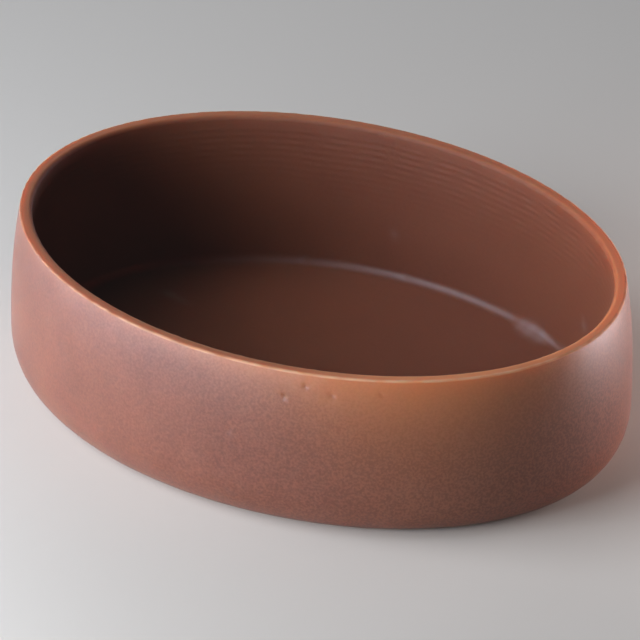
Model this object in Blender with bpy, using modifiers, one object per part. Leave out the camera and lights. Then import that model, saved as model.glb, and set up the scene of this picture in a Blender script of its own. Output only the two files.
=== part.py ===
"""Oval milk chocolate cup: one moulded shell, open at the top, with a flat floor.

The wall's section is drawn as a profile, turned round once as a screw, and then pressed from round
to oval so that the wall keeps its thickness all the way round. Metres, +Z up, and the origin is at
the middle of the flat underside.
"""

import math

import bpy
from mathutils import Vector

MM = 0.001

# Overall size, at the widest line of the outer wall.
LENGTH = 70.0 * MM
WIDTH = 53.6 * MM
HEIGHT = 18.4 * MM

# Outer wall. It rises plumb from a rounded foot and leans inwards towards the mouth.
FOOT_INSET = 2.8 * MM
FOOT_RISE = 4.8 * MM
MOUTH_INSET = 1.0 * MM
LEAN_POWER = 2.5

# Rim. It is scraped flat, with a soft edge inside and a crisp one outside.
RIM_WALL = 1.3 * MM
RIM_INNER_EDGE = 0.45 * MM
RIM_OUTER_EDGE = 0.15 * MM

# Inside. The wall is nearly plumb, so it is about twice as thick at the belly as at the rim. The
# chocolate set a little askew, so the floor rises towards +X.
FLOOR_THICKNESS = 1.05 * MM
FLOOR_SLOPE = 0.016
INNER_FOOT_INSET = 2.55 * MM
FLOOR_FILLET = 1.0 * MM

# Fine level ridges that the stamp leaves inside. They fade out on the way down.
RIDGE_PITCH = 0.76 * MM
RIDGE_DEPTH = 0.05 * MM
RIDGE_TOP = 0.9 * MM
RIDGE_REACH = 10.6 * MM

# How finely the shape is cut into faces.
SEGMENTS = 96
FOOT_STEPS = 7
WALL_STEPS = 8
EDGE_STEPS = 3
FILLET_STEPS = 5
SMOOTH_BELOW = math.radians(40)

# A point nearer the axis than this is the middle of the floor or of the underside, and stays.
MIDDLE = 0.1 * MM

NAME = "chocolate_cup"
MILK_CHOCOLATE = (0.262, 0.103, 0.060, 1.0)
SATIN = 0.42


def quarter(centre, reach, start, end, steps):
    """Points on a quarter of an ellipse: its centre plus its two radii times cosine and sine."""
    points = []
    for i in range(steps + 1):
        angle = math.radians(start + (end - start) * i / steps)
        inset = centre[0] + reach[0] * math.cos(angle)
        height = centre[1] + reach[1] * math.sin(angle)
        points.append((inset, height))
    return points


def outer_wall():
    """The outer face from the rim down to the foot: the lean grows as a power of the height."""
    points = []
    top = HEIGHT - RIM_OUTER_EDGE
    for i in range(WALL_STEPS + 1):
        height = top + (FOOT_RISE - top) * i / WALL_STEPS
        share = 1 - i / WALL_STEPS
        points.append((MOUTH_INSET * share**LEAN_POWER, height))
    return points


def inner_wall():
    """The inner face from the floor fillet up to the rim, with a crest and a hollow for each ridge."""
    mouth = MOUTH_INSET + RIM_WALL
    bottom = FLOOR_THICKNESS + FLOOR_FILLET
    top = HEIGHT - RIM_INNER_EDGE
    points = [(INNER_FOOT_INSET, bottom)]
    ridges = round((RIDGE_REACH - RIDGE_TOP) / RIDGE_PITCH)
    for i in range(2 * ridges, -1, -1):
        depth = RIDGE_TOP + i * RIDGE_PITCH / 2
        height = HEIGHT - depth
        fade = 1 - (depth - RIDGE_TOP) / (RIDGE_REACH - RIDGE_TOP)
        crest = RIDGE_DEPTH * fade if i % 2 else 0.0
        share = (height - bottom) / (top - bottom)
        plain = INNER_FOOT_INSET + (mouth - INNER_FOOT_INSET) * share
        points.append((plain + crest, height))
    return points


def section():
    """The wall's section as (inset from the widest line, height), from the floor's middle round to
    the underside's middle. Both ends lie on the axis."""
    axis = LENGTH / 2
    mouth = MOUTH_INSET + RIM_WALL
    soft = (RIM_INNER_EDGE, RIM_INNER_EDGE)
    crisp = (RIM_OUTER_EDGE, RIM_OUTER_EDGE)
    fillet_centre = (INNER_FOOT_INSET + FLOOR_FILLET, FLOOR_THICKNESS + FLOOR_FILLET)
    fillet = quarter(fillet_centre, (FLOOR_FILLET, FLOOR_FILLET), 270, 180, FILLET_STEPS)
    inner_centre = (mouth - RIM_INNER_EDGE, HEIGHT - RIM_INNER_EDGE)
    outer_centre = (MOUTH_INSET + RIM_OUTER_EDGE, HEIGHT - RIM_OUTER_EDGE)
    inner_edge = quarter(inner_centre, soft, 0, 90, EDGE_STEPS)
    outer_edge = quarter(outer_centre, crisp, 90, 180, EDGE_STEPS)
    foot = quarter((FOOT_INSET, FOOT_RISE), (FOOT_INSET, FOOT_RISE), 180, 270, FOOT_STEPS)
    points = [(axis, FLOOR_THICKNESS)]
    points += fillet[:-1]
    points += inner_wall()
    points += inner_edge
    points += outer_edge[:-1]
    points += outer_wall()
    points += foot[1:]
    points.append((axis, 0.0))
    return points


def turned(points, name):
    """A round shell: the section stands at +X and a Screw modifier turns it once about Z."""
    mesh = bpy.data.meshes.new(name + "_section")
    corners = [(LENGTH / 2 - inset, 0.0, height) for inset, height in points]
    mesh.from_pydata(corners, [(i, i + 1) for i in range(len(corners) - 1)], [])
    blank = bpy.data.objects.new(name + "_blank", mesh)
    bpy.context.scene.collection.objects.link(blank)
    screw = blank.modifiers.new("turn", "SCREW")
    screw.axis = "Z"
    screw.angle = 2 * math.pi
    screw.steps = SEGMENTS
    screw.render_steps = SEGMENTS
    screw.use_merge_vertices = True
    screw.merge_threshold = 0.00001
    graph = bpy.context.evaluated_depsgraph_get()
    shell = bpy.data.meshes.new_from_object(blank.evaluated_get(graph))
    bpy.data.objects.remove(blank)
    return shell


def rise(inset, height, along):
    """How far a point of the inside moves up as the floor slopes: the slope times the distance
    along the cup, in full at the floor and down to nothing at the rim."""
    outside = inset < MOUTH_INSET + RIM_WALL - RIM_INNER_EDGE
    underside = height < FLOOR_THICKNESS / 2
    if outside or underside:
        return 0.0
    bottom = FLOOR_THICKNESS + FLOOR_FILLET
    top = HEIGHT - RIM_INNER_EDGE
    share = (top - height) / (top - bottom)
    return FLOOR_SLOPE * along * min(max(share, 0.0), 1.0)


def press_oval(mesh):
    """Moves each point from the round shell to the oval one. A point stays at its own distance
    inside the outline, measured square to it: ellipse(angle) minus inset times its normal."""
    long_half = LENGTH / 2
    short_half = WIDTH / 2
    for vertex in mesh.vertices:
        radius = math.hypot(vertex.co.x, vertex.co.y)
        if radius < MIDDLE:
            continue
        angle = math.atan2(vertex.co.y, vertex.co.x)
        on_outline = Vector((long_half * math.cos(angle), short_half * math.sin(angle), 0.0))
        normal = Vector((short_half * math.cos(angle), long_half * math.sin(angle), 0.0))
        inset = long_half - radius
        pressed = on_outline - inset * normal.normalized()
        pressed.z = vertex.co.z + rise(inset, vertex.co.z, pressed.x)
        vertex.co = pressed


def chocolate():
    """Satin milk chocolate, warm brown."""
    material = bpy.data.materials.new("milk_chocolate")
    material.use_nodes = True
    shader = material.node_tree.nodes["Principled BSDF"]
    shader.inputs["Base Color"].default_value = MILK_CHOCOLATE
    shader.inputs["Roughness"].default_value = SATIN
    shader.inputs["Metallic"].default_value = 0.0
    return material


def build():
    for old in list(bpy.data.objects):
        bpy.data.objects.remove(old)
    collection = bpy.data.collections.new(NAME)
    bpy.context.scene.collection.children.link(collection)
    mesh = turned(section(), NAME)
    press_oval(mesh)
    mesh.name = NAME
    mesh.materials.append(chocolate())
    mesh.shade_smooth()
    mesh.set_sharp_from_angle(angle=SMOOTH_BELOW)
    collection.objects.link(bpy.data.objects.new(NAME, mesh))


build()
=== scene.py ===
"""An oval milk chocolate cup, as it comes out of its mould: bare, empty, standing on a pale table."""

import math

import bpy
import numpy as np
from mathutils import Matrix, Vector


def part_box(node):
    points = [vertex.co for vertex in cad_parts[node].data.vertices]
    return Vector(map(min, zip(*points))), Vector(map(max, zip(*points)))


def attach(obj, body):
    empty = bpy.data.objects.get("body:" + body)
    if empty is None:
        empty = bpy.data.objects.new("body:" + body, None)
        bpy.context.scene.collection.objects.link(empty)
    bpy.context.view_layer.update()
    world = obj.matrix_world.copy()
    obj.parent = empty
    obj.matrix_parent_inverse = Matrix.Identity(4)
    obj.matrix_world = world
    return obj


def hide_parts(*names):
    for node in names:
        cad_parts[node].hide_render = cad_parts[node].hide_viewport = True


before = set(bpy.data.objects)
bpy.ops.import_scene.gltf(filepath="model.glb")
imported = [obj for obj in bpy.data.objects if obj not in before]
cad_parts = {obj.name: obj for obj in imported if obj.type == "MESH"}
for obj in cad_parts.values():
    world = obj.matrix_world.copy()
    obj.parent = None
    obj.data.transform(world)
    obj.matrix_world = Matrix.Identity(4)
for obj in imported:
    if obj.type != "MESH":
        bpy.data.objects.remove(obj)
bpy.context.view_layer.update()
MM = 0.001


# ---------------------------------------------------------------------------------------------
# The cup.
# One piece of milk chocolate, cast in a satin mould that makes its outside, and pressed open by a
# stamp that makes its inside and leaves fine level ridges there. The mouth is scraped flat.
# ---------------------------------------------------------------------------------------------

cup_low, cup_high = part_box("chocolate_cup")
LONG_HALF = (cup_high.x - cup_low.x) / 2
SHORT_HALF = (cup_high.y - cup_low.y) / 2
HEIGHT = cup_high.z

# The section, as distances inside the widest line of the outer wall.
FOOT_INSET = 2.8 * MM
FOOT_RISE = 4.8 * MM
MOUTH_INSET = 1.0 * MM
LEAN_POWER = 2.5
RIM_WALL = 1.3 * MM
RIM_INNER_EDGE = 0.45 * MM
RIM_OUTER_EDGE = 0.15 * MM
FLOOR_THICKNESS = 1.05 * MM
INNER_FOOT_INSET = 2.55 * MM
FLOOR_FILLET = 1.0 * MM

# The mould stood a little askew as the chocolate set, so the floor rises towards +X.
FLOOR_SLOPE = 0.016

# The grid: points round the oval, and rows along the section.
ROUND_POINTS = 620
FLOOR_SHARES = np.array([0.25, 0.5, 0.7, 0.82, 0.88, 0.91, 0.935, 0.955, 0.972, 0.987])
FILLET_ROWS = 8
WALL_ROWS_BELOW_RIDGES = 8
ROWS_A_RIDGE = 5
INNER_EDGE_ROWS = 7
RIM_ROWS = 3
OUTER_EDGE_ROWS = 3
OUTER_ROWS = 34
OUTER_CROWD = 1.4
FOOT_ROWS = 10
BASE_SHARES = np.array([0.97, 0.6, 0.3])

# The stamp's ridges: level, a little wavy, uneven in height, and lost towards the floor.
RIDGE_PITCH = 0.76 * MM
RIDGE_HEIGHT = 0.021 * MM
RIDGE_TOP = 0.9 * MM
RIDGE_REACH = 10.6 * MM
RIDGE_WANDER = 0.07 * MM
RIDGE_EVEN = 0.65

# Unevenness that hands and cooling leave: slow swells in the walls, an inner edge that crumbles
# mostly along one stretch, and a faintly chipped outer edge.
WALL_SWELL = 0.05 * MM
RAGGED = 0.14 * MM
RAGGED_SHARE = 0.2
RAGGED_ANGLE = 285.0
RAGGED_SPREAD = 16.0
RAGGED_FROM = 0.35
RAGGED_MOST = 1.6
CHIPPED = 0.02 * MM

# The waves that each unevenness is a sum of: the shortest and the longest wavelength, how much
# shorter they are in height, and how many there are.
WANDER_WAVES = (6 * MM, 22 * MM, 1.0, 14)
RIDGE_WAVES = (2.2 * MM, 6 * MM, 2.5, 22)
SWELL_WAVES = (14 * MM, 50 * MM, 0.6, 12)
CRUMB_WAVES = (0.9 * MM, 2.2 * MM, 1.0, 26)
CHIP_WAVES = (0.8 * MM, 2.6 * MM, 1.0, 26)
LUMP_WAVES = (1.2 * MM, 2.5 * MM, 1.0, 12)
LIP_HIGHLIGHT_WAVES = (1.0 * MM, 5 * MM, 1.0, 20)
SEED = 7

# A smear in the corner of the floor, where the fillet is wider: where it is, how long, how much
# wider, and how far up the wall makes room for it. The fillet also has two dents.
SMEAR_ANGLE = 65.0
SMEAR_HALF = 4.2 * MM
SMEAR_GROWTH = 1.2 * MM
SMEAR_CLIMB = 0.35
SMEAR_ROOM = 4.8 * MM
SMEAR_SKEW = 0.3
SMEAR_LUMPS = 0.03 * MM
DENT_ANGLES = (97.5, 118.2)
DENT_HALF = 0.4 * MM
DENT_RISE = 0.10 * MM

# Small marks, each at an angle round the oval in degrees and at a height. Pinholes are burst air
# bubbles. The grid is drawn together round each, up to a distance and by a power of it.
PINHOLES = ((293.3, 17.0 * MM), (289.6, 15.5 * MM), (280.0, 10.5 * MM), (298.2, 16.4 * MM),
            (307.2, 16.9 * MM))
PINHOLE_RADIUS = 0.19 * MM
PINHOLE_DEPTH = 0.15 * MM
GATHER = 1.1 * MM
GATHER_POWER = 0.7
GATHER_LEAST = 0.001

# Specks are crumbs that stuck to the wall. Each also has a radius and stands out by a height.
SPECKS = ((48.5, 6.8 * MM, 0.50 * MM, 0.08 * MM), (100.0, 6.1 * MM, 0.40 * MM, 0.05 * MM))

# The mould's seam, a fine beaded line down the outside that starts a little below the rim.
SEAM_ANGLE = 340.7
SEAM_HALF = 0.22 * MM
SEAM_HEIGHT = 0.03 * MM
SEAM_START = 1.8 * MM
SEAM_FADE = 3 * MM
SEAM_BEAD = 0.9 * MM
SEAM_BEADING = 0.4

# Painted highlight: the rim's outer edge is coloured pale and uneven, mostly on one side.
LIP_HIGHLIGHT_ANGLE = 318.0
LIP_HIGHLIGHT_FOCUS = 2.4
LIP_HIGHLIGHT_EVEN = 0.8
LIP_HIGHLIGHT_UNEVEN = 0.35

# Painted glow: a pale orange colour laid on where light comes through the wall, on the rim's top
# and a little below it inside, most at the oval's +X end. On one stretch of the outside the painted
# glow reaches further down.
PAINTED_GLOW_REACH = 0.5 * MM
PAINTED_GLOW_TOP = 0.38
PAINTED_GLOW_END = 0.50
PAINTED_GLOW_INSIDE = 0.10
PAINTED_GLOW_FADE_POWER = 4
PAINTED_GLOW_OUTSIDE = 0.08
PAINTED_GLOW_MOST_OUTSIDE = 0.86
PAINTED_GLOW_MOST_ANGLE = 320.0
PAINTED_GLOW_MOST_SPREAD = 36.0
PAINTED_GLOW_MOST_STRETCH = 12.0

# Painted glow inside, near the +X end: a deep orange red colour stands in for light that has come
# through the wall.
INNER_GLOW_SHARE = 0.6
INNER_GLOW_ANGLE = 18.0
INNER_GLOW_SPREAD = 36.0
INNER_GLOW_REACH = 1.7 * MM

# The grain shows most, in colour and in relief, on one side.
GRAINY_ANGLE = 342.0
GRAINY_SPREAD = 56.0
GRAINY_LEAST = 0.08

# Pale marks inside: a place, a radius, and how pale it is. Three lie along the smear and are a
# painted highlight; one on the floor and two on the specks are dusty marks of dry chocolate.
DUST_AND_HIGHLIGHTS = ((11.8 * MM, 22.0 * MM, 1.4 * MM, 0.7 * MM, 0.45),
        (13.2 * MM, 21.5 * MM, 1.4 * MM, 0.9 * MM, 0.55),
        (14.8 * MM, 20.8 * MM, 1.4 * MM, 0.8 * MM, 0.40),
        (-23.4 * MM, 7.1 * MM, 0.7 * MM, 0.6 * MM, 0.7),
        (21.9 * MM, 18.1 * MM, 6.8 * MM, 0.6 * MM, 0.45),
        (-5.8 * MM, 24.0 * MM, 6.1 * MM, 0.5 * MM, 0.3))
PALEST_DUST_AND_HIGHLIGHT = 0.7


def quarter(centre, reach, start, end, count):
    """Rows on a quarter of an ellipse: centre + reach * (cos, sin) of an evenly spaced angle."""
    angle = np.radians(np.linspace(start, end, count))
    return centre[0] + reach[0] * np.cos(angle), centre[1] + reach[1] * np.sin(angle)


def section_rows():
    """Inset and height of each row from the floor's edge round to the underside's edge, and the
    row's part of the cup: arcs at the fillet, rim and foot, lines for the inner wall and the rim,
    and for the outer wall mouth inset * (share of height above the foot) ** lean power."""
    mouth = MOUTH_INSET + RIM_WALL
    low = FLOOR_THICKNESS + FLOOR_FILLET
    top = HEIGHT - RIM_INNER_EDGE
    outer_top = HEIGHT - RIM_OUTER_EDGE
    ridges = round((RIDGE_REACH - RIDGE_TOP) / RIDGE_PITCH)
    fillet = quarter((INNER_FOOT_INSET + FLOOR_FILLET, low), (FLOOR_FILLET, FLOOR_FILLET),
                     270, 180, FILLET_ROWS + 1)
    plain = np.linspace(low, HEIGHT - RIDGE_REACH, WALL_ROWS_BELOW_RIDGES + 1)[1:]
    ridged = np.linspace(HEIGHT - RIDGE_REACH, top, ridges * ROWS_A_RIDGE + 3)[1:-1]
    inner_height = np.concatenate([plain, ridged])
    slope = (mouth - INNER_FOOT_INSET) / (top - low)
    inner = INNER_FOOT_INSET + slope * (inner_height - low), inner_height
    inner_edge = quarter((mouth - RIM_INNER_EDGE, top), (RIM_INNER_EDGE, RIM_INNER_EDGE),
                         0, 90, INNER_EDGE_ROWS + 1)
    flat_inset = np.linspace(mouth - RIM_INNER_EDGE, MOUTH_INSET + RIM_OUTER_EDGE, RIM_ROWS + 2)
    flat = flat_inset[1:-1], np.full(RIM_ROWS, HEIGHT)
    outer_edge = quarter((MOUTH_INSET + RIM_OUTER_EDGE, outer_top), (RIM_OUTER_EDGE, RIM_OUTER_EDGE),
                         90, 180, OUTER_EDGE_ROWS + 1)
    share = 1 - np.linspace(0, 1, OUTER_ROWS + 1)[1:] ** OUTER_CROWD
    outer = MOUTH_INSET * share**LEAN_POWER, FOOT_RISE + (outer_top - FOOT_RISE) * share
    foot = quarter((FOOT_INSET, FOOT_RISE), (FOOT_INSET, FOOT_RISE), 180, 270, FOOT_ROWS + 1)
    parts = [("fillet", fillet), ("inner", inner), ("inner edge", inner_edge), ("rim", flat),
             ("outer edge", outer_edge), ("outer", outer), ("foot", (foot[0][1:], foot[1][1:]))]
    inset = np.concatenate([rows[0] for _, rows in parts])
    height = np.concatenate([rows[1] for _, rows in parts])
    part = np.concatenate([np.full(len(rows[0]), name, dtype="U12") for name, rows in parts])
    return inset, height, part


def waves(around, along, kind, seed):
    """Smooth noise from about -1 to 1: a sum of cosines of (turns * around + rate * along +
    phase), with whole turns, so that it closes round the cup. The kind holds the shortest and
    longest wavelength along the wall, the stretch that shortens them in height, and the count."""
    shortest, longest, stretch, count = kind
    draw = np.random.default_rng(seed)
    girth = 2 * math.pi * math.sqrt((LONG_HALF**2 + SHORT_HALF**2) / 2)
    total = np.zeros(np.broadcast(around, along).shape)
    for _ in range(count):
        length = draw.uniform(shortest, longest)
        lean = draw.uniform(-1, 1)
        turns = round(girth / length * math.sqrt(1 - 0.5 * lean**2))
        rate = 2 * math.pi / length * lean * stretch
        total += np.cos(turns * around + rate * along + draw.uniform(0, 2 * math.pi))
    return total / math.sqrt(count)


def offsets(around, tall, angle, height):
    """Distance along the wall, round and up, of each point from a place on it. The distance round
    is the turn times the oval's own radius there, sqrt((a sin)^2 + (b cos)^2)."""
    there = math.radians(angle)
    stride = math.hypot(LONG_HALF * math.sin(there), SHORT_HALF * math.cos(there))
    turn = (around - there + math.pi) % (2 * math.pi) - math.pi
    return turn * stride, tall - height, stride


def cup_grid():
    """Points of the wall as arrays (row, round): outline(angle) - inset * outline's normal, at
    the row's height. Inset and height carry the relief: cosines of the depth for the ridges, slow
    waves for the walls, and bell curves for the marks."""
    inset, height, part = section_rows()
    is_inner = (part == "inner")[:, None]
    is_edge = (part == "inner edge")[:, None]
    is_lip = (part == "outer edge")[:, None]
    is_outer = (part == "outer")[:, None]
    is_fillet = (part == "fillet")[:, None]
    angle = np.arange(ROUND_POINTS) * 2 * math.pi / ROUND_POINTS
    around = angle[None, :] + 0 * height[:, None]
    tall = height[:, None] + 0 * angle[None, :]
    deep = inset[:, None] + 0 * angle[None, :]

    # Pinholes first draw the points round them together, so that so small a hole has a shape.
    for place, level in PINHOLES:
        across, up, stride = offsets(around, tall, place, level)
        away = np.hypot(across, up) / GATHER
        pull = is_outer * np.clip(away, GATHER_LEAST, 1) ** GATHER_POWER + (1 - is_outer)
        around = around + across * (pull - 1) / stride
        tall = tall + up * (pull - 1)
    outer_rows = np.flatnonzero(part == "outer")[::-1]
    moved = np.interp(tall, height[outer_rows], inset[outer_rows])
    deep = np.where(is_outer & (tall > height[outer_rows[0]]), moved, deep)
    for place, level in PINHOLES:
        across, up, _ = offsets(around, tall, place, level)
        away = np.hypot(across, up) / PINHOLE_RADIUS
        deep = deep + is_outer * PINHOLE_DEPTH * np.exp(-away**2)

    depth = HEIGHT - tall
    ridge_fade = np.clip(1 - (depth - RIDGE_TOP) / (RIDGE_REACH - RIDGE_TOP), 0, 1)
    ridge_fade = ridge_fade * np.clip((depth - RIDGE_TOP) / RIDGE_PITCH, 0, 1)
    wander = RIDGE_WANDER * waves(around, tall, WANDER_WAVES, SEED)
    uneven = RIDGE_EVEN + (1 - RIDGE_EVEN) * waves(around, tall, RIDGE_WAVES, SEED + 1)
    ridges = RIDGE_HEIGHT * ridge_fade * uneven * np.cos(2 * math.pi * (depth + wander) / RIDGE_PITCH)
    slow = WALL_SWELL * waves(around, tall, SWELL_WAVES, SEED + 2)
    crumbs = waves(around, tall, CRUMB_WAVES, SEED + 3)
    turn = (np.degrees(around) - RAGGED_ANGLE + 180) % 360 - 180
    worn = RAGGED_SHARE + (1 - RAGGED_SHARE) * np.exp(-(turn / RAGGED_SPREAD) ** 2)
    crumbs = RAGGED * worn * np.clip(crumbs - RAGGED_FROM, 0, RAGGED_MOST)
    chips = CHIPPED * waves(around, tall, CHIP_WAVES, SEED + 5)
    steady = np.clip(tall / FOOT_RISE, 0, 1) * np.clip(depth / RIM_WALL, 0, 1)
    deep = deep + is_inner * ridges + slow * steady + is_edge * crumbs + is_lip * chips

    for place, level, radius, rise in SPECKS:
        across, up, _ = offsets(around, tall, place, level)
        deep = deep + is_inner * rise * np.exp(-(across**2 + up**2) / radius**2)
    across, up, _ = offsets(around, tall, SEAM_ANGLE, FOOT_RISE)
    beaded = 1 - SEAM_BEADING + SEAM_BEADING * np.cos(2 * math.pi * up / SEAM_BEAD)
    seam_fade = np.clip((depth - SEAM_START) / SEAM_FADE, 0, 1)
    deep = deep - is_outer * SEAM_HEIGHT * seam_fade * beaded * np.exp(-(across / SEAM_HALF) ** 2)

    # The smear widens the fillet: each point moves with an arc of radius + growth that touches
    # the same floor and wall. The wall's points above it close up to make room.
    low = FLOOR_THICKNESS + FLOOR_FILLET
    across, _, _ = offsets(around, tall, SMEAR_ANGLE, 0)
    along = across / SMEAR_HALF
    growth = SMEAR_GROWTH * np.clip(1 - along**2, 0, 1) ** 2 * (1 + SMEAR_SKEW * along)
    lumps = SMEAR_LUMPS * waves(around, tall, LUMP_WAVES, SEED + 4)
    cosine = (inset[:, None] - INNER_FOOT_INSET) / FLOOR_FILLET - 1
    sine = (height[:, None] - FLOOR_THICKNESS) / FLOOR_FILLET - 1
    corner = is_fillet * np.sin(math.pi * np.clip(sine + 1, 0, 1))
    deep = deep + is_fillet * growth * (1 + cosine) + lumps * corner * growth / SMEAR_GROWTH
    closing = np.clip(1 - (tall - low) / SMEAR_ROOM, 0, 1)
    climb = SMEAR_CLIMB * growth
    tall = tall + is_fillet * climb * (1 + sine) + is_inner * climb * closing
    for place in DENT_ANGLES:
        across, _, _ = offsets(around, tall, place, 0)
        deep = deep + DENT_RISE * corner * np.exp(-(across / DENT_HALF) ** 2)

    normal = np.stack([SHORT_HALF * np.cos(around), LONG_HALF * np.sin(around)], axis=2)
    normal /= np.linalg.norm(normal, axis=2, keepdims=True)
    outline = np.stack([LONG_HALF * np.cos(around), SHORT_HALF * np.sin(around)], axis=2)
    level_points = outline - deep[:, :, None] * normal

    # The inside leans with the floor: all of the slope at the floor, none of it at the rim.
    sloping = np.clip((HEIGHT - RIM_INNER_EDGE - tall) / (HEIGHT - RIM_INNER_EDGE - low), 0, 1)
    tall = tall + (is_fillet | is_inner) * sloping * FLOOR_SLOPE * level_points[:, :, 0]
    return np.concatenate([level_points, tall[:, :, None]], axis=2), part


def turn_from(columns, place):
    """Degrees round the oval from a place to each column of the grid, between -180 and 180."""
    return (np.arange(columns)[None, :] * 360 / columns - place + 180) % 360 - 180


def painted_glow_share(tall, part):
    """How much painted glow each point of the grid has, where light comes through the wall: the share
    of its part of the section times exp(-depth below the rim's edge / reach). Along the rim the share
    grows towards the +X end with the cosine squared of the angle, and it fades over the inner edge
    to a part of that.
    On the outer edge and the outside it is a bell curve of the angle."""
    cosine = np.cos(np.radians(turn_from(tall.shape[1], 0.0)))
    end = PAINTED_GLOW_END * np.clip(cosine, 0, 1) ** 2
    bell = np.exp(-(turn_from(tall.shape[1], PAINTED_GLOW_MOST_ANGLE) / PAINTED_GLOW_MOST_SPREAD) ** 2)
    top = np.maximum(PAINTED_GLOW_TOP + end, bell)
    outer = PAINTED_GLOW_OUTSIDE + (PAINTED_GLOW_MOST_OUTSIDE - PAINTED_GLOW_OUTSIDE) * bell
    outside = np.isin(part, ("outer", "foot"))[:, None]
    upward = np.clip(1 - (HEIGHT - tall) / RIM_INNER_EDGE, 0, 1)
    inner = top * (PAINTED_GLOW_INSIDE + (1 - PAINTED_GLOW_INSIDE) * upward**PAINTED_GLOW_FADE_POWER)
    within = np.isin(part, ("floor", "fillet", "inner", "inner edge"))[:, None]
    lip = (part == "outer edge")[:, None]
    share = np.where(outside, outer, np.where(within, inner, np.where(lip, bell, top)))
    reach = PAINTED_GLOW_REACH * np.where(outside, 1 + (PAINTED_GLOW_MOST_STRETCH - 1) * bell, 1.0)
    depth = np.clip(HEIGHT - RIM_INNER_EDGE - tall, 0, None)
    return (share * np.exp(-depth / reach)).ravel()


def inner_glow_share(tall, part):
    """How much painted glow each point of the inner wall has: share * bell curve of the angle *
    exp(-depth below the rim / reach)."""
    inside = np.isin(part, ("inner", "inner edge"))[:, None]
    bell = np.exp(-(turn_from(tall.shape[1], INNER_GLOW_ANGLE) / INNER_GLOW_SPREAD) ** 2)
    return (INNER_GLOW_SHARE * inside * bell * np.exp(-(HEIGHT - tall) / INNER_GLOW_REACH)).ravel()


def dust_and_highlight_share(points, part):
    """How pale each point of the inside is, from dust and from painted highlight: a sum of bell
    curves of its distance from places.
    """
    inside = np.isin(part, ("floor", "fillet", "inner"))[:, None]
    total = np.zeros(points.shape[:2])
    for x, y, z, radius, pale in DUST_AND_HIGHLIGHTS:
        away = np.linalg.norm(points - np.array([x, y, z]), axis=2)
        total += pale * np.exp(-(away / radius) ** 2)
    return (inside * np.clip(total, 0, PALEST_DUST_AND_HIGHLIGHT)).ravel()


def lip_highlight_share(lip, tall):
    """How much painted highlight each point has: on the lip's rows only, (1 + cosine of the angle
    from the brightest place) / 2 to a power, times an uneven share from waves."""
    angle = np.arange(tall.shape[1])[None, :] * 2 * math.pi / tall.shape[1] + 0 * tall
    lean = (1 + np.cos(angle - math.radians(LIP_HIGHLIGHT_ANGLE))) / 2
    uneven = LIP_HIGHLIGHT_EVEN + LIP_HIGHLIGHT_UNEVEN * waves(angle, tall, LIP_HIGHLIGHT_WAVES, SEED + 6)
    return (lip[:, None] * lean**LIP_HIGHLIGHT_FOCUS * np.clip(uneven, 0, 1)).ravel()


def cup_mesh():
    """The closed skin: floor rows are the fillet's first row shrunk to the middle, base rows the
    foot's last row shrunk in the same way, and a single point closes each."""
    wall, part = cup_grid()
    floor_middle = np.array([0, 0, FLOOR_THICKNESS])
    floor = floor_middle + FLOOR_SHARES[:, None, None] * (wall[0] - floor_middle)[None]
    base = BASE_SHARES[:, None, None] * wall[-1][None]
    base[:, :, 2] = 0
    grid = np.concatenate([floor, wall, base])
    rows, columns = grid.shape[:2]
    middle = np.array([[0, 0, FLOOR_THICKNESS], [0, 0, 0]])
    points = np.concatenate([grid.reshape(-1, 3), middle])

    index = np.arange(rows * columns).reshape(rows, columns)
    beside = np.roll(index, -1, axis=1)
    quads = np.stack([index[:-1], index[1:], beside[1:], beside[:-1]], axis=2).reshape(-1, 4)
    top_point = np.full(columns, rows * columns)
    low_point = top_point + 1
    top_fan = np.stack([top_point, index[0], beside[0]], axis=1)
    low_fan = np.stack([index[-1], low_point, beside[-1]], axis=1)
    mesh = bpy.data.meshes.new("cup_skin")
    mesh.from_pydata(points.tolist(), [], quads.tolist() + top_fan.tolist() + low_fan.tolist())
    mesh.validate()
    mesh.shade_smooth()

    part = np.concatenate([np.full(len(floor), "floor"), part, np.full(len(base), "foot")])
    tall = grid[:, :, 2]
    bell = np.exp(-(turn_from(columns, GRAINY_ANGLE) / GRAINY_SPREAD) ** 2)
    level = np.ones(columns)[None, :]
    pressed = np.isin(part, ("floor", "fillet", "inner"))[:, None] * level
    scraped = np.isin(part, ("inner edge", "rim", "outer edge"))[:, None] * level
    grainy = (1 - pressed) * (GRAINY_LEAST + (1 - GRAINY_LEAST) * bell)
    for name, values in (("pressed", pressed), ("scraped", scraped), ("grainy", grainy),
                         ("painted_lip_highlight", lip_highlight_share(part == "outer edge", tall)),
                         ("painted_glow", painted_glow_share(tall, part)), ("painted_inner_glow", inner_glow_share(tall, part)),
                         ("dust_and_highlight", dust_and_highlight_share(grid, part))):
        middles = (1.0, 0.0) if name == "pressed" else (0.0, 0.0)
        layer = mesh.attributes.new(name, "FLOAT", "POINT")
        layer.data.foreach_set("value", np.append(np.ravel(values), middles))
    return mesh


def linear(hex_colour):
    """Linear red, green, blue and alpha of an sRGB hex colour such as #7a4632."""
    parts = [int(hex_colour[i:i + 2], 16) / 255 for i in (1, 3, 5)]
    return [c / 12.92 if c <= 0.04045 else ((c + 0.055) / 1.055) ** 2.4 for c in parts] + [1.0]


def add_node(tree, kind, settings=None, values=None, links=None):
    """Adds a node, sets its properties and its sockets' values, and links sockets to outputs."""
    node = tree.nodes.new(kind)
    for name, value in (settings or {}).items():
        setattr(node, name, value)
    for name, value in (values or {}).items():
        node.inputs[name].default_value = value
    for name, source in (links or {}).items():
        tree.links.new(source, node.inputs[name])
    return node


# Milk chocolate: cocoa solids and milk fat, warm brown, a little see-through at a thin edge.
CHOCOLATE = "#683b2b"
CHOCOLATE_PALE = "#814d39"
# The inside's more orange colour is partly painted light, bounced and glowing in the hollow.
CHOCOLATE_PRESSED_BOUNCE = "#884829"
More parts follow.
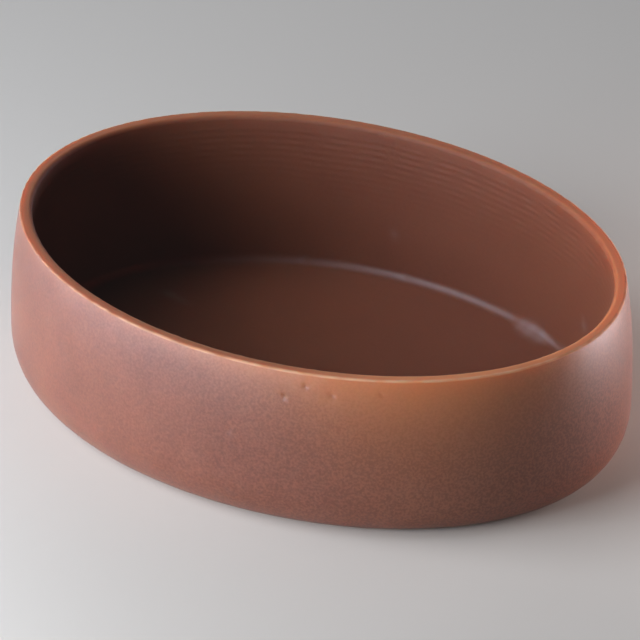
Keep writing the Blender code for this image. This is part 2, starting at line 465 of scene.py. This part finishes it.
# The scraped rim's darker colour is partly painted shade.
CHOCOLATE_SCRAPED_SHADED = "#784022"
# Painted glow, where light comes through the wall near the rim.
CHOCOLATE_PAINTED_GLOW = "#cd7f4c"
# Painted glow inside, where light has come through the wall.
CHOCOLATE_INNER_GLOW = "#a03c10"
# Painted highlight on the rim's outer edge.
CHOCOLATE_LIP_HIGHLIGHT = "#c6936f"
# Pale dust inside, and a painted highlight along the smear.
CHOCOLATE_DUST_AND_HIGHLIGHT = "#a08078"
PRESSED_BOUNCE_TINT = 0.6

# How deep light goes, and the share of that depth that its red, green and blue reach.
GLOW_DEPTH = 2.6 * MM
GLOW_REACH = (1.0, 0.5, 0.28)

# The grain of the mould and the slow clouds in the colour: their sizes, how strongly the grain
# shows in the colour and in the relief, inside and outside, and where the noise has its middle.
GRAIN = 0.28 * MM
GRAIN_DEPTH = 0.06 * MM
GRAIN_TINT_INSIDE = 1.1
GRAIN_TINT_OUTSIDE = 5.8
GRAIN_RELIEF_INSIDE = 0.05
GRAIN_RELIEF_OUTSIDE = 0.13
CLOUD = 6 * MM
NOISE_DETAIL = 3.0
NOISE_MIDDLE = 0.5

# How rough each face is, and how strongly cocoa butter shines on all of them.
ROUGH_MOULDED = 0.38
ROUGH_PRESSED = 0.46
ROUGH_SCRAPED = 0.72
COCOA_BUTTER_IOR = 1.5
SHINE = 0.45


def milk_chocolate():
    """Moulded milk chocolate. Light goes in up to 2.6 mm and comes out orange, so thin edges
    glow. The mould leaves a satin grain outside, the stamp a duller face with less grain inside,
    and the scraper a dull rim."""
    material = bpy.data.materials.new("moulded_milk_chocolate")
    material.use_nodes = True
    tree = material.node_tree
    shader = tree.nodes["Principled BSDF"]
    place = add_node(tree, "ShaderNodeTexCoord").outputs["Object"]

    def share(name):
        """One of the values that the mesh carries at its points."""
        return add_node(tree, "ShaderNodeAttribute", {"attribute_name": name}).outputs["Fac"]

    def noise(size):
        """Noise with features of about a size in metres."""
        return add_node(tree, "ShaderNodeTexNoise", None, {"Scale": 1 / size, "Detail": NOISE_DETAIL},
                        {"Vector": place}).outputs["Fac"]

    def blend(amount, below, above):
        """Lays a colour over another. On a colour Mix node socket 0 is the amount, 6 and 7 are the
        colours, and output 2 is the result."""
        node = add_node(tree, "ShaderNodeMix", {"data_type": "RGBA"}, {7: linear(above)},
                        {0: amount, 6: below})
        return node.outputs[2]

    grain = noise(GRAIN)
    clouds = noise(CLOUD)
    contrast = add_node(tree, "ShaderNodeMapRange", None, {"To Min": GRAIN_TINT_INSIDE,
                        "To Max": GRAIN_TINT_OUTSIDE}, {"Value": share("grainy")}).outputs["Result"]
    around_zero = add_node(tree, "ShaderNodeMath", {"operation": "SUBTRACT"}, {1: NOISE_MIDDLE},
                           {0: grain}).outputs["Value"]
    mottle = add_node(tree, "ShaderNodeMath", {"operation": "MULTIPLY_ADD", "use_clamp": True},
                      None, {0: around_zero, 1: contrast, 2: clouds}).outputs["Value"]
    body = add_node(tree, "ShaderNodeMix", {"data_type": "RGBA"}, {6: linear(CHOCOLATE),
                    7: linear(CHOCOLATE_PALE)}, {0: mottle}).outputs[2]
    # The inside's more orange colour is partly painted light, bounced and glowing in the hollow.
    pressed_bounce_share = add_node(tree, "ShaderNodeMath", {"operation": "MULTIPLY"}, {1: PRESSED_BOUNCE_TINT},
                            {0: share("pressed")}).outputs["Value"]
    # The rim's darker colour is partly painted shade.
    faced = blend(share("scraped"), blend(pressed_bounce_share, body, CHOCOLATE_PRESSED_BOUNCE), CHOCOLATE_SCRAPED_SHADED)
    # Painted glow inside, near the +X end.
    painted_inner_glow = blend(share("painted_inner_glow"), faced, CHOCOLATE_INNER_GLOW)
    # Painted glow: pale orange laid over the colour where light comes through the wall near the rim.
    with_painted_glow = blend(share("painted_glow"), painted_inner_glow, CHOCOLATE_PAINTED_GLOW)
    # Pale dust inside, and a painted highlight along the smear.
    with_dust_and_highlight = blend(share("dust_and_highlight"), with_painted_glow, CHOCOLATE_DUST_AND_HIGHLIGHT)
    # Painted highlight on the rim's outer edge.
    tree.links.new(blend(share("painted_lip_highlight"), with_dust_and_highlight, CHOCOLATE_LIP_HIGHLIGHT), shader.inputs["Base Color"])

    relief = add_node(tree, "ShaderNodeMapRange", None, {"To Min": GRAIN_RELIEF_INSIDE,
                      "To Max": GRAIN_RELIEF_OUTSIDE}, {"Value": share("grainy")}).outputs["Result"]
    bump = add_node(tree, "ShaderNodeBump", None, {"Distance": GRAIN_DEPTH},
                    {"Height": grain, "Strength": relief})
    tree.links.new(bump.outputs["Normal"], shader.inputs["Normal"])

    rough = add_node(tree, "ShaderNodeMapRange", None, {"To Min": ROUGH_MOULDED,
                     "To Max": ROUGH_PRESSED}, {"Value": share("pressed")}).outputs["Result"]
    rough = add_node(tree, "ShaderNodeMapRange", None, {"To Max": ROUGH_SCRAPED},
                     {"Value": share("scraped"), "To Min": rough}).outputs["Result"]
    tree.links.new(rough, shader.inputs["Roughness"])
    shader.inputs["IOR"].default_value = COCOA_BUTTER_IOR
    shader.inputs["Specular IOR Level"].default_value = SHINE
    shader.inputs["Subsurface Weight"].default_value = 1.0
    shader.inputs["Subsurface Radius"].default_value = GLOW_REACH
    shader.inputs["Subsurface Scale"].default_value = GLOW_DEPTH
    return material


cup = bpy.data.objects.new("cup", cup_mesh())
bpy.context.scene.collection.objects.link(cup)
cup.data.materials.append(milk_chocolate())
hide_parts("chocolate_cup")
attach(cup, "root")


# ---------------------------------------------------------------------------------------------
# The table.
# A plain board, far larger than the view, faced with a pale matt laminate. The cup stands loose
# on it.
# ---------------------------------------------------------------------------------------------

TABLE_HALF = 3.0
LAMINATE = "#d4c7b6"
LAMINATE_ROUGHNESS = 0.8
LAMINATE_SHINE = 0.2


def table_finish():
    """Matt laminate, a warm white."""
    material = bpy.data.materials.new("matt_white_laminate")
    material.use_nodes = True
    shader = material.node_tree.nodes["Principled BSDF"]
    shader.inputs["Base Color"].default_value = linear(LAMINATE)
    shader.inputs["Roughness"].default_value = LAMINATE_ROUGHNESS
    shader.inputs["Specular IOR Level"].default_value = LAMINATE_SHINE
    return material


board = bpy.data.meshes.new("table")
corners = [(x * TABLE_HALF, y * TABLE_HALF, 0) for x, y in ((-1, -1), (1, -1), (1, 1), (-1, 1))]
board.from_pydata(corners, [], [(0, 1, 2, 3)])
table = bpy.data.objects.new("table", board)
bpy.context.scene.collection.objects.link(table)
board.materials.append(table_finish())


# ---------------------------------------------------------------------------------------------
# The camera.
# It has a long lens and looks down at the cup from its front right. Where it stands is given by
# angles in degrees round the cup and above the table, and by its distance in metres.
# ---------------------------------------------------------------------------------------------

VIEW_AZIMUTH = 32.46
VIEW_ELEVATION = 30.22
VIEW_DISTANCE = 0.70
VIEW_ROLL = 1.09
AIM_RIGHT = 0.055 * MM
AIM_DOWN = 0.30 * MM

# The sensor's width and the lens's length, in millimetres, and the nearest that it sees, in metres.
SENSOR = 36.0
LENS = 373.7
NEAREST = 0.01


def direction(azimuth, elevation):
    """Unit vector from the cup towards a place: azimuth 0 is the front, -Y, and 90 is +X."""
    a, e = math.radians(azimuth), math.radians(elevation)
    return Vector((math.sin(a) * math.cos(e), -math.cos(a) * math.cos(e), math.sin(e)))


def place_camera():
    """Stands the camera at its distance from the cup's middle and rolls it about its own axis."""
    back = direction(VIEW_AZIMUTH, VIEW_ELEVATION)
    right = Vector((0, 0, 1)).cross(back).normalized()
    up = back.cross(right)
    target = Vector((0, 0, HEIGHT / 2)) + AIM_RIGHT * right - AIM_DOWN * up
    roll = math.radians(VIEW_ROLL)
    rolled_right = right * math.cos(roll) + up * math.sin(roll)
    rolled_up = up * math.cos(roll) - right * math.sin(roll)
    lens = bpy.data.cameras.new("camera")
    lens.lens = LENS
    lens.sensor_width = SENSOR
    lens.clip_start = NEAREST
    camera = bpy.data.objects.new("camera", lens)
    bpy.context.scene.collection.objects.link(camera)
    camera.matrix_world = Matrix.Translation(target + back * VIEW_DISTANCE) @ Matrix(
        (rolled_right, rolled_up, back)).transposed().to_4x4()
    bpy.context.scene.camera = camera


place_camera()


# ---------------------------------------------------------------------------------------------
# The light.
# Soft boxes of cool daylight. Three stand low and close on the left, the side one the bluest, and
# a nearly white one on the right: they give the satin wall its broad sheens.
# ---------------------------------------------------------------------------------------------

ROOM_LIGHT = 0.0

# The lights' colours, and a gain that makes up for what daylight's colour takes from its strength.
DAYLIGHT = "#ddeaff"
SKYLIGHT = "#c9e0ff"
WHITE_LIGHT = "#fff2fb"
DAYLIGHT_GAIN = 1.13


def soft_box(name, azimuth, elevation, distance, width, tall, strength, colour=DAYLIGHT):
    """A rectangular area light that faces the cup. Its power is gain * strength * (pi *
    distance)^2, so that a strength of 1 makes a white card at the cup about as bright as white,
    however far off the light is."""
    light = bpy.data.lights.new(name, "AREA")
    light.shape = "RECTANGLE"
    light.size = width
    light.size_y = tall
    light.energy = DAYLIGHT_GAIN * strength * (math.pi * distance) ** 2
    light.color = linear(colour)[:3]
    lamp = bpy.data.objects.new(name, light)
    toward = direction(VIEW_AZIMUTH + azimuth, elevation)
    lamp.location = toward * distance
    lamp.rotation_euler = toward.to_track_quat("Z", "Y").to_euler()
    lamp.visible_camera = False
    bpy.context.scene.collection.objects.link(lamp)
    return lamp


# Degrees round from the camera and above the table, then metres: distance, width and height of
# the box. The last number is its strength.
soft_box("near_left_box", -64, 13, 0.12, 0.13, 0.05, 0.46)
soft_box("near_front_box", -45, 8, 0.12, 0.10, 0.03, 0.42)
soft_box("near_side_box", -90, 8, 0.12, 0.12, 0.03, 0.78, SKYLIGHT)
soft_box("near_right_box", 95, 6, 0.08, 0.06, 0.02, 0.56, WHITE_LIGHT)
soft_box("front_box", -60, 24, 0.8, 0.4, 0.4, 0.67)
soft_box("high_box", -90, 42, 0.8, 0.4, 0.4, 0.44)
soft_box("top_box", -90, 66, 0.8, 0.4, 0.4, 0.10)
soft_box("low_box", 125, 3, 0.8, 0.5, 0.07, 0.33)
soft_box("back_box", 180, 20, 0.8, 0.5, 0.3, 0.13)

# The room gives no light of its own: all of it comes from the boxes.
room = bpy.data.worlds.new("room")
room.use_nodes = True
room.node_tree.nodes["Background"].inputs["Strength"].default_value = ROOM_LIGHT
room.node_tree.nodes["Background"].inputs["Color"].default_value = (1, 1, 1, 1)
bpy.context.scene.world = room

# A pale room throws a little stray light into the lens, which lifts the deepest shadows.
STRAY_LIGHT = 0.005
view = bpy.context.scene.view_settings
view.view_transform = "Standard"
view.use_curve_mapping = True
view.curve_mapping.black_level = (-STRAY_LIGHT, -STRAY_LIGHT, -STRAY_LIGHT)
view.curve_mapping.update()
